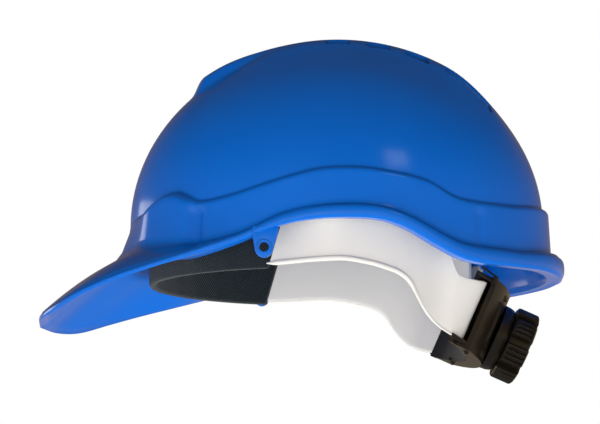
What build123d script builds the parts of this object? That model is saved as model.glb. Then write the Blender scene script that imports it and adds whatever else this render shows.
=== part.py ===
from build123d import *
import os
from math import acos, cos, pi, radians, sin, tan

# Peaked industrial safety helmet with a wheel-ratchet headband.
# Frame: the wearer faces -Y, +Z is up and +X is the wearer's left.  The origin is on the crown
# axis, at the level of the headband's lower edge over the ears.  All lengths are millimetres.

os.makedirs("parts", exist_ok=True)

# ---- Shell: driving dimensions ----
wall = 2.6                  # moulded wall thickness
dome_base_z = 25.0          # level of the dome's widest section
dome_rise = 101.0           # dome height above that level
dome_half_length = 114.5
dome_half_width = 100.8
crest_proud_z = 5.5         # the crown crest stands this far above the dome
crest_proud_y = 2.5
crest_proud_x = 3.5
crest_floor = 40.0          # the crest has died away at this height
crest_side = [(33, -80), (44, -10), (46, 60), (40, 108)]
vent_length = 13.0
vent_width = 5.0
vent_places = [(45.5, -1.0), (47.5, 20.5), (48.5, 41.5)]
rear_vent_place = (48.0, 70.0)
rear_vent_length = 26.0
skirt_front = 119.0         # skirt extents, from the crown axis
skirt_rear = 118.5
skirt_half_width = 103.0
lip_reach = 4.0             # the rim bead stands this far outside the skirt
rear_lip_reach = 8.0
lip_height = 6.6
peak_axis_z = -150.0        # the peak is bent round a level fore-and-aft axis at this height
peak_thickness = 2.8
side_lift_z = 12.0          # rim's lower edge over the ears

# ---- Chin strap lugs ----
lug_y = -41.0
lug_z = -1.8
lug_radius = 5.4
lug_hole_radius = 2.4
lug_thickness = 3.0
lug_ring = 0.4              # the ring round the eye stands this proud
lug_x = 96.4                # inner face of a lug

# ---- Headband ----
band_thickness = 1.8
band_centre_y = -3.0
band_half_length = 100.0    # of the centre line
band_half_width = 82.0      # outside, over the ears
band_rear_y = 37.0          # the stiff part of the band ends here and the arms begin
band_top_z = 26.0
band_bottom_z = -7.0
tab_rear_y = 66.0
tab_gap = 0.1
tab_bottom_z = -1.0
tab_top_z = 20.0
sweatband_thickness = 1.6
sweatband_gap = 0.15
sweatband_rear_y = -36.0
sweatband_bottom_z = -9.0
sweatband_top_z = 28.0

# ---- Harness ----
key_flange = 3.0            # a key hangs this far below its socket
key_foot = 2.6
strap_width = 20.0
strap_thickness = 1.3
strap_foot_z = 22.0
crown_z = 93.0

# ---- Ratchet ----
ratchet_tilt = 24.0         # the knob's axis points this far below level
ratchet_y = 86.2
ratchet_z = -35.6
pinion_module = 1.5
pinion_teeth = 10
pressure_angle = 25.0
backlash = 0.30
knob_half_travel = pi / 2   # radians each way
pitch_radius = pinion_module * pinion_teeth / 2
band_travel = pitch_radius * knob_half_travel
rack_pitch = pi * pinion_module
addendum = 0.70 * pinion_module
dedendum = 0.95 * pinion_module
tip_radius = pitch_radius + addendum
root_radius = pitch_radius - dedendum
base_radius = pitch_radius * cos(radians(pressure_angle))
arc_back = 73.0             # the arcs' axis lies this far ahead of the ratchet's origin
cover_radius = 73.2
cover_wall = 2.2
cover_gap = 0.05
cover_low = -18.4           # height range, from the knob's axis
cover_high = 22.6
mouth_x = 41.0
inner_radius = 66.8
inner_half_width = 43.0
drum_radius = 17.0
drum_floor = 1.4
drum_rear = 6.3
detent_radius = 14.5
detent_count = 36
detent_notch = 0.6
spindle_radius = 4.0
spindle_gap = 0.05
hook_x = 30.0
hook_width = 6.0
hook_length = 4.0
hook_depth = -13.4
rack_thickness = 1.5
rack_radius_left = 67.4
rack_radius_right = 69.2
rack_mean_radius = 69.05
rack_half_height = 12.5
rack_reach = 28.0
rack_end = 3.0
window_half = band_travel + pitch_radius + 2.0
pinion_front = -6.0
pinion_rear = -1.8
drive_width = 4.4
drive_depth = 2.6
screw_radius = 1.1
screw_length = 10.0
screw_head = 0.7
screw_head_radius = 2.6
knob_front = 6.8
knob_rear = 19.8
knob_radius = 20.5
knob_valley = 18.0
knob_lobes = 8
lobe_width = 11.0
pawl_front = 1.9
pawl_thickness = 3.0
peg_place = 7.4
peg_radius = 1.2
arm_thickness = 1.6
arm_low = -15.4
arm_high = 19.6

tilt = radians(ratchet_tilt)
ratchet_origin = (0, ratchet_y, ratchet_z)
rearward = (0, cos(tilt), -sin(tilt))
upward = (0, sin(tilt), cos(tilt))


def ratchet_plan(height):
    """Plane across the ratchet at a height; local x is the wearer's left, local y is rearward."""
    centre = tuple(c + height * u for c, u in zip(ratchet_origin, upward))
    return Plane(origin=centre, x_dir=(1, 0, 0), z_dir=upward)


def ratchet_face(depth):
    """Plane facing rearward at a depth; local x is the wearer's right, local y is up."""
    centre = tuple(c + depth * r for c, r in zip(ratchet_origin, rearward))
    return Plane(origin=centre, x_dir=(-1, 0, 0), z_dir=rearward)


everywhere = 160.0            # half width of a sketch that covers the whole helmet
blank_floor = -45.0           # blanks for the skirt and rim start below the whole rim
peak_floor = -60.0            # and the peak's below its tip
blank_height = 90.0

# ---- Side-view curves of the rim and ledge: height against distance along Y ----
rim_low_points = [(-125, -17.5), (-92, -9.0), (-64, -1.5), (-36, 8.0), (0, side_lift_z),
                  (24, 9.6), (46, 0.0), (62, -6.0), (90, -6.5), (135, -4.5)]
ledge_points = [(-125, 22.0), (-92, 27.0), (-62, 28.5), (-30, 35.5), (0, 39.5),
                (30, 38.0), (48, 31.0), (64, 26.5), (90, 27.5), (135, 32.0)]


def side_band(low_points, low_shift, high_points, high_shift, reach):
    """Solid between two side-view curves, running right across the helmet."""
    with BuildPart() as band:
        with BuildSketch(Plane.YZ):
            with BuildLine():
                low = Spline([(y, z + low_shift) for y, z in low_points])
                high = Spline([(y, z + high_shift) for y, z in high_points])
                Line(low @ 0, high @ 0)
                Line(low @ 1, high @ 1)
            make_face()
        extrude(amount=reach, both=True)
    return band.part


def oval(front, rear, half_width):
    """Egg-shaped outline: two half ellipses that share their widest line."""
    with BuildSketch() as outline:
        with BuildLine():
            EllipticalCenterArc((0, 0), half_width, rear, start_angle=0, arc_size=180)
            EllipticalCenterArc((0, 0), half_width, front, start_angle=180, arc_size=180)
        make_face()
    return outline.sketch


def dome_solid(half_width, half_length, rise, base=dome_base_z):
    """Half ellipsoid above the base level, with a short straight wall below it."""
    with BuildPart() as dome:
        with BuildSketch(Plane.XZ):
            with BuildLine():
                arc = EllipticalCenterArc((0, base), half_length, rise, start_angle=0, arc_size=90)
                Polyline(arc @ 0, (half_length, blank_floor), (0, blank_floor), arc @ 1)
            make_face()
        revolve(axis=Axis.Z, revolution_arc=360)
        scale(by=(half_width / half_length, 1, 1))
    return dome.part


# ---- Harness keys: where each one plugs into the shell, and the way it faces ----
key_width = 15.0
key_thickness = 2.4
socket_width = 20.0
socket_height = 15.0
socket_depth = 6.4
socket_back = 1.5           # the socket block is sunk this far into the skirt wall
key_centre = -2.2           # a key's mid-plane, from the inner wall
key_base_z = {"front": 6.0, "side": 23.0, "rear": 6.0}
key_angles = {"front": -50.0, "side": -5.0, "rear": 48.0}   # round the inner wall, from +X


def key_plane(side, angle, height):
    """Level plane on the skirt's inner wall; local y points out through the wall."""
    length = (skirt_rear if angle > 0 else skirt_front) - wall
    width = skirt_half_width - wall
    x = side * width * cos(radians(angle))
    y = length * sin(radians(angle))
    normal = Vector(x / width ** 2, y / length ** 2, 0).normalized()
    return Plane(origin=(x, y, height), x_dir=(normal.Y, -normal.X, 0), z_dir=(0, 0, 1))


key_planes = {f"{end}_{hand}": key_plane(side, angle, key_base_z[end])
              for end, angle in key_angles.items()
              for hand, side in (("left", 1), ("right", -1))}


def crest_solid(shrink):
    """Crown crest: a raised plateau along the middle, from above the forehead to the nape."""
    with BuildPart() as crest:
        add(dome_solid(dome_half_width + crest_proud_x - shrink,
                       dome_half_length + crest_proud_y - shrink,
                       dome_rise + crest_proud_z - shrink))
        with BuildSketch(Plane.XY.offset(crest_floor)):
            with BuildLine():
                right_side = Polyline(crest_side)
                left_side = Polyline([(-x, y) for x, y in crest_side])
                Line(right_side @ 0, left_side @ 0)
                Line(right_side @ 1, left_side @ 1)
            make_face()
            fillet(vertices(), radius=12)
            if shrink:
                offset(amount=-shrink)
        extrude(amount=dome_rise, mode=Mode.INTERSECT)
    return crest.part


# Skirt: upright wall below the ledge.
with BuildPart() as skirt_blank:
    with BuildSketch(Plane.XY.offset(blank_floor)):
        add(oval(skirt_front, skirt_rear, skirt_half_width))
    extrude(amount=blank_height)
    add(side_band(rim_low_points, 0, ledge_points, 0, everywhere), mode=Mode.INTERSECT)

# Rim bead: proud of the skirt all round, deeper at the nape.
with BuildPart() as bead_blank:
    with BuildSketch(Plane.XY.offset(blank_floor)):
        add(oval(skirt_front + 1, skirt_rear + rear_lip_reach, skirt_half_width + lip_reach))
    extrude(amount=blank_height)
    add(side_band(rim_low_points, 0, rim_low_points, lip_height, everywhere), mode=Mode.INTERSECT)

# Everything the head, the harness and the air need inside the shell.
with BuildPart() as hollow:
    add(dome_solid(dome_half_width - wall, dome_half_length - wall, dome_rise - wall))
    with BuildSketch(Plane.XY.offset(blank_floor)):
        add(oval(skirt_front - wall, skirt_rear - wall, skirt_half_width - wall))
    extrude(amount=blank_height)
    add(side_band([(y, peak_floor) for y in (-140, -60, 0, 60, 140)], 0,
                  ledge_points, -wall, everywhere), mode=Mode.INTERSECT)
    # The ledge curve cuts the blanks off, so the dome's inside is put back above it.
    add(dome_solid(dome_half_width - wall, dome_half_length - wall, dome_rise - wall))
    add(crest_solid(wall))

# Peak: side profile bent round a level axis, then trimmed to its plan outline.
peak_line = [(-165, -31.0), (-158, -25.5), (-146, -14.5), (-130, -2.5), (-112, 7.0),
             (-96, 14.5), (-80, 20.5), (-52, 29.0)]
with BuildPart() as peak_blank:
    with BuildSketch(Plane.YZ):
        with BuildLine():
            top = Spline(peak_line)
            under = Spline([(y, z - peak_thickness) for y, z in peak_line])
            Line(top @ 0, under @ 0)
            Line(top @ 1, under @ 1)
        make_face()
    revolve(axis=Axis((0, 0, peak_axis_z), (0, 1, 0)), revolution_arc=360)
    with BuildSketch(Plane.XY.offset(peak_floor)):
        with BuildLine():
            edge = Spline([(96, -54), (92, -76), (87, -98), (80, -118), (67, -140), (40, -156),
                           (0, -163.5)], tangents=[(-0.2, -1), (-1, 0)])
            mirror(edge, about=Plane.YZ)
            Line(edge @ 0, (-96, -54))
        make_face()
    extrude(amount=blank_height, mode=Mode.INTERSECT)
    with BuildSketch(Plane.XY.offset(peak_floor)):
        add(oval(skirt_front - wall, skirt_rear - wall, skirt_half_width - wall))
    extrude(amount=blank_height, mode=Mode.SUBTRACT)

with BuildPart() as shell:
    add(dome_solid(dome_half_width, dome_half_length, dome_rise))
    with BuildSketch(Plane.XY.offset(blank_floor)):
        Rectangle(2 * everywhere, 2 * everywhere)
    extrude(amount=dome_base_z - blank_floor, mode=Mode.SUBTRACT)
    add(crest_solid(0))
    add(skirt_blank.part)
    add(bead_blank.part)
    add(hollow.part, mode=Mode.SUBTRACT)
    add(peak_blank.part)

    # Vents through the crest's side walls.
    with BuildSketch(Plane.XY.offset(crest_floor)):
        for side in (1, -1):
            with Locations([(side * x, y) for x, y in vent_places]):
                RectangleRounded(vent_width, vent_length, 1.5)
            with Locations((side * rear_vent_place[0], rear_vent_place[1])):
                RectangleRounded(vent_width - 1, rear_vent_length, 1.5)
    extrude(amount=dome_rise, mode=Mode.SUBTRACT)
    # Chin strap lugs hang from the bead, one each side, each with a raised ring round its eye.
    for side in (1, -1):
        lug_plane = Plane(origin=(side * lug_x, 0, 0), x_dir=(0, side, 0), z_dir=(side, 0, 0))
        with BuildSketch(lug_plane):
            with BuildLine():
                Polyline((side * lug_y - 7.5, 10), (side * lug_y - 4.2, lug_z - 3),
                         (side * lug_y + 4.2, lug_z - 3), (side * lug_y + 7.5, 10), close=True)
            make_face()
            with Locations((side * lug_y, lug_z)):
                Circle(lug_radius)
        extrude(amount=lug_thickness)
        with BuildSketch(lug_plane.offset(lug_thickness)):
            with Locations((side * lug_y, lug_z)):
                Circle(lug_hole_radius + 1.3)
        extrude(amount=lug_ring)
        with BuildSketch(lug_plane):
            with Locations((side * lug_y, lug_z)):
                Circle(lug_hole_radius)
        extrude(amount=lug_thickness + lug_ring, mode=Mode.SUBTRACT)
    # Sockets for the harness keys, open at the bottom.
    for plane in key_planes.values():
        with BuildSketch(plane):
            with Locations((0, -socket_depth / 2 + socket_back)):
                Rectangle(socket_width, socket_depth)
        extrude(amount=socket_height)
        with BuildSketch(plane):
            with Locations((0, key_centre)):
                Rectangle(key_width + 0.6, key_thickness + 0.6)
        extrude(amount=socket_height - 2, mode=Mode.SUBTRACT)

shell.part.label = "shell"
export_step(shell.part, "parts/shell.step")


# ---- Headband: one egg-shaped strip round the brow and over the ears ----
def band_plan(outward, rear_y):
    """Plan region inside the headband's centre line moved outward, cut off behind rear_y."""
    with BuildSketch() as region:
        with Locations((0, band_centre_y)):
            Ellipse(band_half_width - band_thickness / 2 + outward, band_half_length + outward)
        with Locations((0, rear_y - everywhere)):
            Rectangle(2 * everywhere, 2 * everywhere, mode=Mode.INTERSECT)
    return region.sketch


def band_wall(outward, thickness, rear_y, bottom, top):
    """Upright wall that follows the headband's plan."""
    with BuildPart() as strip:
        with BuildSketch(Plane.XY.offset(bottom)):
            add(band_plan(outward + thickness / 2, rear_y))
            add(band_plan(outward - thickness / 2, rear_y + 1), mode=Mode.SUBTRACT)
        extrude(amount=top - bottom)
    return strip.part


band_edge = [(-110, -5.0), (-60, -6.5), (-38, -6.0), (-2, -4.4), (16, -7.5), (28, -11.5),
             (34, -16.5), (38, -21.5)]

with BuildPart() as headband:
    add(band_wall(0, band_thickness, band_rear_y, -24, band_top_z))
    add(side_band(band_edge, 0, [(y, band_top_z + 1) for y in (-115, -60, 0, 40)], 0, everywhere),
        mode=Mode.INTERSECT)
headband.part.label = "headband"
export_step(headband.part, "parts/headband.step")

# Rear hanger tabs: each carries the band's upper edge back to its rear key.
for hand, side in (("left", 1), ("right", -1)):
    with BuildPart() as tab:
        add(band_wall(0, band_thickness, tab_rear_y, tab_bottom_z, tab_top_z))
        with BuildSketch(Plane.XY.offset(tab_bottom_z)):
            with Locations((side * everywhere / 2, (tab_rear_y + band_rear_y + tab_gap) / 2)):
                Rectangle(everywhere, tab_rear_y - band_rear_y - tab_gap)
        extrude(amount=tab_top_z - tab_bottom_z, mode=Mode.INTERSECT)
    tab.part.label = f"{hand}_hanger_tab"
    export_step(tab.part, f"parts/{hand}_hanger_tab.step")

# Sweatband: fabric sleeve over the brow, lapped round both faces of the headband.
with BuildPart() as sweatband:
    add(band_wall(0, band_thickness + 2 * (sweatband_gap + sweatband_thickness), sweatband_rear_y,
                  sweatband_bottom_z, sweatband_top_z))
    add(band_wall(0, band_thickness + 2 * sweatband_gap, sweatband_rear_y + 2,
                  band_bottom_z - 0.2, sweatband_top_z + 1), mode=Mode.SUBTRACT)
sweatband.part.label = "sweatband"
export_step(sweatband.part, "parts/sweatband.step")

# ---- Harness keys: a plate up the socket, and a foot that reaches in to the headband ----
key_reach = {}
for name, plane in key_planes.items():
    normal = plane.y_dir
    reach = 0.0
    while (abs(plane.origin.X - reach * normal.X) / band_half_width) ** 2 + (
            (plane.origin.Y - reach * normal.Y - band_centre_y)
            / (band_half_length + band_thickness / 2)) ** 2 > 1:
        reach += 0.1
    key_reach[name] = reach
    clear = sweatband_gap + sweatband_thickness + 0.3 if name.startswith("front") else 0.3
    with BuildPart() as key:
        with BuildSketch(plane.offset(-key_flange)):
            with Locations((0, key_centre)):
                Rectangle(key_width, key_thickness)
        extrude(amount=socket_height - 3 + key_flange)
        with BuildSketch(plane.offset(-key_flange - key_foot)):
            with Locations((0, (key_centre + key_thickness / 2 - reach + clear) / 2)):
                Rectangle(key_width, reach - clear + key_centre + key_thickness / 2)
            fillet(vertices(), radius=1)
        extrude(amount=key_foot)
        with BuildSketch(plane.offset(-key_flange)):
            with Locations((0, -reach + clear + 3.5)):
                Rectangle(key_width, 2.4)
        extrude(amount=strap_foot_z - plane.origin.Z + key_flange)
    key.part.label = f"{name}_key"
    export_step(key.part, f"parts/{name}_key.step")

# ---- Crown straps: three webbing arches that cross under the crown, one above the other ----
strap_pairs = [("front_left", "rear_right"), ("front_right", "rear_left"),
               ("side_left", "side_right")]


def strap_end(name):
    """Where a strap stands on its key."""
    plane = key_planes[name]
    clear = sweatband_gap + sweatband_thickness + 0.3 if name.startswith("front") else 0.3
    return plane.origin - plane.y_dir * (key_reach[name] - clear - 3.5)


for layer, (first, second) in enumerate(strap_pairs):
    start = strap_end(first)
    finish = strap_end(second)
    span = finish - start
    middle = (start + finish) / 2
    half = span.length / 2
    along = span.normalized()
    arch_plane = Plane(origin=(middle.X, middle.Y, strap_foot_z), x_dir=(along.X, along.Y, 0),
                       z_dir=(along.Y, -along.X, 0))
    rise = crown_z - layer * (strap_thickness + 1.4) - strap_foot_z
    with BuildPart() as strap:
        with BuildSketch(arch_plane):
            Ellipse(half, rise)
            Ellipse(half - strap_thickness, rise - strap_thickness, mode=Mode.SUBTRACT)
            with Locations((0, -everywhere)):
                Rectangle(2 * everywhere, 2 * everywhere, mode=Mode.SUBTRACT)
        extrude(amount=strap_width / 2, both=True)
    strap.part.label = f"crown_strap_{layer + 1}"
    export_step(strap.part, f"parts/crown_strap_{layer + 1}.step")

# ---- Ratchet unit: curved to the nape, with its arcs about one upright axis ----
def arc_region(inner, outer, half_width):
    """Plan region between two of the ratchet's arcs."""
    with BuildSketch() as region:
        with Locations((0, -arc_back)):
            Circle(outer)
            Circle(inner, mode=Mode.SUBTRACT)
        with Locations((0, 0)):
            Rectangle(2 * half_width, 1.6 * arc_back, mode=Mode.INTERSECT)
    return region.sketch


with BuildPart() as outer_cover:
    with BuildSketch(ratchet_plan(cover_low)):
        with Locations((0, -arc_back)):
            Circle(cover_radius)
            Circle(inner_radius + cover_gap, mode=Mode.SUBTRACT)
        with Locations((0, 0)):
            Rectangle(2 * mouth_x, arc_back, mode=Mode.INTERSECT)
    extrude(amount=cover_high - cover_low)
    with BuildSketch(ratchet_plan(cover_low + cover_wall)):
        with Locations((0, -arc_back)):
            Circle(cover_radius - cover_wall)
    extrude(amount=cover_high - cover_low - 2 * cover_wall, mode=Mode.SUBTRACT)
    with BuildSketch(ratchet_face(0)):
        Circle(drum_radius)
    extrude(amount=drum_rear)
    with BuildSketch(ratchet_face(drum_floor)):
        Circle(detent_radius)
        with PolarLocations(detent_radius, detent_count):
            Circle(detent_notch)
    extrude(amount=drum_rear, mode=Mode.SUBTRACT)
    with BuildSketch(ratchet_face(-4)):
        Circle(spindle_radius + spindle_gap)
    extrude(amount=drum_rear + 8, mode=Mode.SUBTRACT)
    with BuildSketch(ratchet_face(-4)):
        Circle(tip_radius + 0.7)
    extrude(amount=4 + pinion_rear + 0.3, mode=Mode.SUBTRACT)
    # Snap windows for the inner cover's hooks, two above and two below.
    with BuildSketch(ratchet_plan(cover_low - 1)):
        with Locations((-hook_x, hook_depth), (hook_x, hook_depth)):
            Rectangle(hook_width + 0.6, hook_length + 0.6)
    extrude(amount=cover_high - cover_low + 2, mode=Mode.SUBTRACT)
outer_cover.part.label = "outer_cover"
export_step(outer_cover.part, "parts/outer_cover.step")

with BuildPart() as inner_cover:
    with BuildSketch(ratchet_plan(cover_low)):
        add(arc_region(inner_radius - cover_wall, inner_radius, inner_half_width))
    extrude(amount=cover_high - cover_low)
    # Hooks stand on the plate and reach back into the outer cover's snap windows.
    for hook_base in (cover_low + 0.2, cover_high - cover_wall + 0.2):
        with BuildSketch(ratchet_plan(hook_base)):
            for side in (1, -1):
                with Locations((side * hook_x, hook_depth)):
                    Rectangle(hook_width, hook_length)
        extrude(amount=cover_wall - 0.4)
    # Recess for the screw's head.
    with BuildSketch(ratchet_face(pinion_front - screw_head - 0.4)):
        Circle(screw_head_radius + 0.5)
    extrude(amount=screw_head + 2, mode=Mode.SUBTRACT)
inner_cover.part.label = "inner_cover"
export_step(inner_cover.part, "parts/inner_cover.step")


# ---- Racks: the band's toothed ends, one above the pinion and one below it ----
flank = tan(radians(pressure_angle))


def sector(radius_in, radius_out, start, finish):
    """Plan region of a ring between two arc lengths, counted from the rearmost point."""
    reach = 1.5 * radius_out
    middle_radius = (radius_in + radius_out) / 2
    corners = [(reach * sin(s / middle_radius), reach * cos(s / middle_radius) - arc_back)
               for s in (start, finish)]
    with BuildSketch() as region:
        with Locations((0, -arc_back)):
            Circle(radius_out)
            Circle(radius_in, mode=Mode.SUBTRACT)
        with BuildSketch(mode=Mode.INTERSECT):
            with BuildLine():
                Polyline((0, -arc_back), corners[0], corners[1], close=True)
            make_face()
    return region.sketch


def radial_plane(arc_length, radius):
    """Plane facing out from the arcs' axis; local x runs round to the right, local y is up."""
    angle = arc_length / radius
    direction = Vector(*rearward) * cos(angle) + Vector(1, 0, 0) * sin(angle)
    centre = Vector(*ratchet_origin) - Vector(*rearward) * arc_back
    level = Vector(*upward).cross(direction)
    return Plane(origin=centre + direction * radius, x_dir=tuple(level), z_dir=tuple(direction))


tooth_count = 2 * int((band_travel + 4) / rack_pitch) + 2
tooth_half = rack_pitch / 4 - backlash / 4
for hand, side, radius in (("left", 1, rack_radius_left), ("right", -1, rack_radius_right)):
    outer_end = rack_reach * side
    inner_end = -(window_half + rack_end) * side
    with BuildPart() as rack:
        with BuildSketch(ratchet_plan(-rack_half_height)):
            add(sector(radius, radius + rack_thickness,
                       min(outer_end, inner_end), max(outer_end, inner_end)))
        extrude(amount=2 * rack_half_height)
        root = pitch_radius + dedendum
        with BuildSketch(ratchet_plan(-root)):
            add(sector(radius - 1, radius + rack_thickness + 1, -window_half, window_half))
        extrude(amount=2 * root, mode=Mode.SUBTRACT)
        for k in range(tooth_count):
            place = (k - (tooth_count - 1) / 2) * rack_pitch
            with BuildSketch(radial_plane(place, radius + rack_thickness / 2)):
                with BuildLine():
                    base = tooth_half + dedendum * flank
                    tip = tooth_half - addendum * flank
                    Polyline((-base, side * (root + 0.05)), (-tip, side * (pitch_radius - addendum)),
                             (tip, side * (pitch_radius - addendum)), (base, side * (root + 0.05)),
                             close=True)
                make_face()
            extrude(amount=rack_thickness / 2 - 0.02, both=True)
    rack.part.label = f"{hand}_rack"
    export_step(rack.part, f"parts/{hand}_rack.step")


# ---- Pinion: involute teeth worked out from the base circle ----
def involute(angle):
    return tan(angle) - angle


def tooth_half_angle(radius):
    """Half the tooth's angle at a radius, for a tooth thinned by the backlash."""
    thickness = rack_pitch / 2 - backlash / 2
    there = acos(min(1.0, base_radius / radius))
    return thickness / (2 * pitch_radius) + involute(radians(pressure_angle)) - involute(there)


flank_radii = [root_radius] + [base_radius + (tip_radius - base_radius) * k / 4 for k in range(5)]
outline = []
for tooth in range(pinion_teeth):
    centre_angle = pi / 2 + 2 * pi * tooth / pinion_teeth
    for turn, radii in ((1, flank_radii), (-1, flank_radii[::-1])):
        for radius in radii:
            angle = centre_angle - turn * tooth_half_angle(max(radius, base_radius))
            outline.append((radius * cos(angle), radius * sin(angle)))

with BuildPart() as pinion:
    with BuildSketch(ratchet_face(pinion_front)):
        with BuildLine():
            Polyline(outline, close=True)
        make_face()
        Circle(screw_radius + 0.1, mode=Mode.SUBTRACT)
    extrude(amount=pinion_rear - pinion_front)
    with BuildSketch(ratchet_face(pinion_rear - drive_depth)):
        Rectangle(drive_width + 0.1, drive_width + 0.1)
    extrude(amount=drive_depth, mode=Mode.SUBTRACT)
pinion.part.label = "pinion"
export_step(pinion.part, "parts/pinion.step")

# ---- Knob: eight grip lobes, each with three grooves ----
with BuildPart() as knob:
    with BuildSketch(ratchet_face(knob_front)):
        Circle(knob_valley)
        with PolarLocations(knob_valley - 1, knob_lobes):
            RectangleRounded(2 * (knob_radius - knob_valley + 1), lobe_width, 1.2)
    extrude(amount=knob_rear - knob_front)
    chamfer(faces().filter_by(Axis(ratchet_origin, rearward)).sort_by(Axis(ratchet_origin, rearward))[-1]
            .edges(), length=1.2)
    with BuildSketch(ratchet_face(knob_front + 3)):
        with PolarLocations(knob_radius, knob_lobes):
            with GridLocations(1, lobe_width / 4, 1, 3):
                Rectangle(1.4, 1.0)
    extrude(amount=knob_rear - knob_front - 4.5, mode=Mode.SUBTRACT)
    with BuildSketch(ratchet_face(pinion_rear)):
        Circle(spindle_radius)
    extrude(amount=knob_front - pinion_rear)
    with BuildSketch(ratchet_face(pinion_rear - drive_depth + 0.1)):
        Rectangle(drive_width, drive_width)
    extrude(amount=drive_depth - 0.1)
    # Two pegs on the underside turn the pawl disc.
    with BuildSketch(ratchet_face(pawl_front + 0.6)):
        with PolarLocations(peg_place, 2):
            Circle(peg_radius)
    extrude(amount=knob_front - pawl_front - 0.6)
    with BuildSketch(ratchet_face(pinion_rear - drive_depth)):
        Circle(screw_radius + 0.05)
    extrude(amount=screw_length, mode=Mode.SUBTRACT)
knob.part.label = "knob"
export_step(knob.part, "parts/knob.step")

# ---- Pawl disc: clicks round the teeth inside the drum ----
with BuildPart() as pawl_disc:
    with BuildSketch(ratchet_face(pawl_front)):
        Circle(peg_place + 2.2)
        Circle(spindle_radius + 0.15, mode=Mode.SUBTRACT)
        with PolarLocations(peg_place, 2):
            Circle(peg_radius + 0.1, mode=Mode.SUBTRACT)
        with PolarLocations(0, 2, start_angle=90):
            with BuildLine():
                inner = CenterArc((0, 0), peg_place + 1.6, 0, 60)
                pawl_tip = PolarLine(inner @ 1, detent_radius - peg_place - 2.2, 60)
                outer = ThreePointArc(pawl_tip @ 1, (11.6, 4.2), (peg_place + 2.2, 0))
                Line(outer @ 1, inner @ 0)
            make_face()
    extrude(amount=pawl_thickness)
pawl_disc.part.label = "pawl_disc"
export_step(pawl_disc.part, "parts/pawl_disc.step")

# ---- Screw: holds the pinion and the knob together ----
with BuildPart() as ratchet_screw:
    with BuildSketch(ratchet_face(pinion_front - screw_head)):
        Circle(screw_head_radius)
    extrude(amount=screw_head - 0.02)
    with BuildSketch(ratchet_face(pinion_front - 0.02)):
        Circle(screw_radius)
    extrude(amount=screw_length + 1.5)
ratchet_screw.part.label = "ratchet_screw"
export_step(ratchet_screw.part, "parts/ratchet_screw.step")

# ---- Arms: the thin ends of the band, from over the ears to the ratchet's mouths ----
for hand, side in (("left", 1), ("right", -1)):
    low_run = [(74.2, 37.3, -20.0), (70.0, 41.5, -28.5), (63.0, 46.5, -34.0),
               (56.0, 52.0, -37.5), (50.0, 57.0, -39.7)]
    high_run = [(74.2, 37.3, -2.0), (72.0, 44.0, -4.0), (68.0, 52.5, -6.5),
                (62.0, 61.0, -9.0), (55.0, 68.0, -10.0)]
    for arc_length in (44.0, 30.0):
        mouth = radial_plane(arc_length, rack_mean_radius)
        low_run.append(tuple(mouth.origin + Vector(*upward) * arm_low))
        high_run.append(tuple(mouth.origin + Vector(*upward) * arm_high))
    with BuildPart() as arm:
        with BuildLine():
            low_edge = Spline([(side * x, y, z) for x, y, z in low_run])
            high_edge = Spline([(side * x, y, z) for x, y, z in high_run])
        sheet = Face.make_surface_from_curves(low_edge.edge(), high_edge.edge())
        thicken(sheet, amount=arm_thickness / 2, both=True)
    arm.part.label = f"{hand}_arm"
    export_step(arm.part, f"parts/{hand}_arm.step")
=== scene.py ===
# %% [markdown]
# # A vented safety helmet with a wheel ratchet
# A safety helmet is a glossy moulded shell that hangs on a plastic headband by six keys. The
# sizes, the mechanism and the joints are already fixed by the CAD model, which is loaded here
# as a frame that never moves. Everything made below is dressed round that frame.

from math import acos, asin, atan2, cos, exp, pi, radians, sin, sqrt
from types import SimpleNamespace

import bmesh
import bpy
from mathutils import Matrix, Vector


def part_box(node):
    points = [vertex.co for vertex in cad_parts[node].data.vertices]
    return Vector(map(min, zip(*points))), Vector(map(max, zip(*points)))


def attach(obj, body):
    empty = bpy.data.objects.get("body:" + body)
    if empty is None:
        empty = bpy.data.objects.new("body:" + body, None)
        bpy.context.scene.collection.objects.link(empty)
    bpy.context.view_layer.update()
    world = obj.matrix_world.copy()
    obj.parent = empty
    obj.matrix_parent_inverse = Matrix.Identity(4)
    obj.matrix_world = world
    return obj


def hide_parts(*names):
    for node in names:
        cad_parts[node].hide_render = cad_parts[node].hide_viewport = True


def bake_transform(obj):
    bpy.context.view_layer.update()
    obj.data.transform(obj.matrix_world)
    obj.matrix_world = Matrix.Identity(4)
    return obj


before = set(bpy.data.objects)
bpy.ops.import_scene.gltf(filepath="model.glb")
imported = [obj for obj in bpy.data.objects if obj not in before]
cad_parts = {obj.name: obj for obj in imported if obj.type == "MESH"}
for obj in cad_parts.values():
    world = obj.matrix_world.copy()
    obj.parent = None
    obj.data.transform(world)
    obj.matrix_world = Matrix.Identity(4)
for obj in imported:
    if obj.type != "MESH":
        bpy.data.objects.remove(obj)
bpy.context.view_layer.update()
MM = 0.001

# %% [markdown]
# ## Camera, light and floor
# The helmet is seen from the wearer's left and a little from below, through a long lens. A
# glossy blue shell shows whatever is round it, so the light matters as much as the colour:
# a bright pale floor lights the peak and the rim from below, and a dimmer warm ceiling keeps
# the crown dark and gives its edges a tan sheen.

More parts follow.
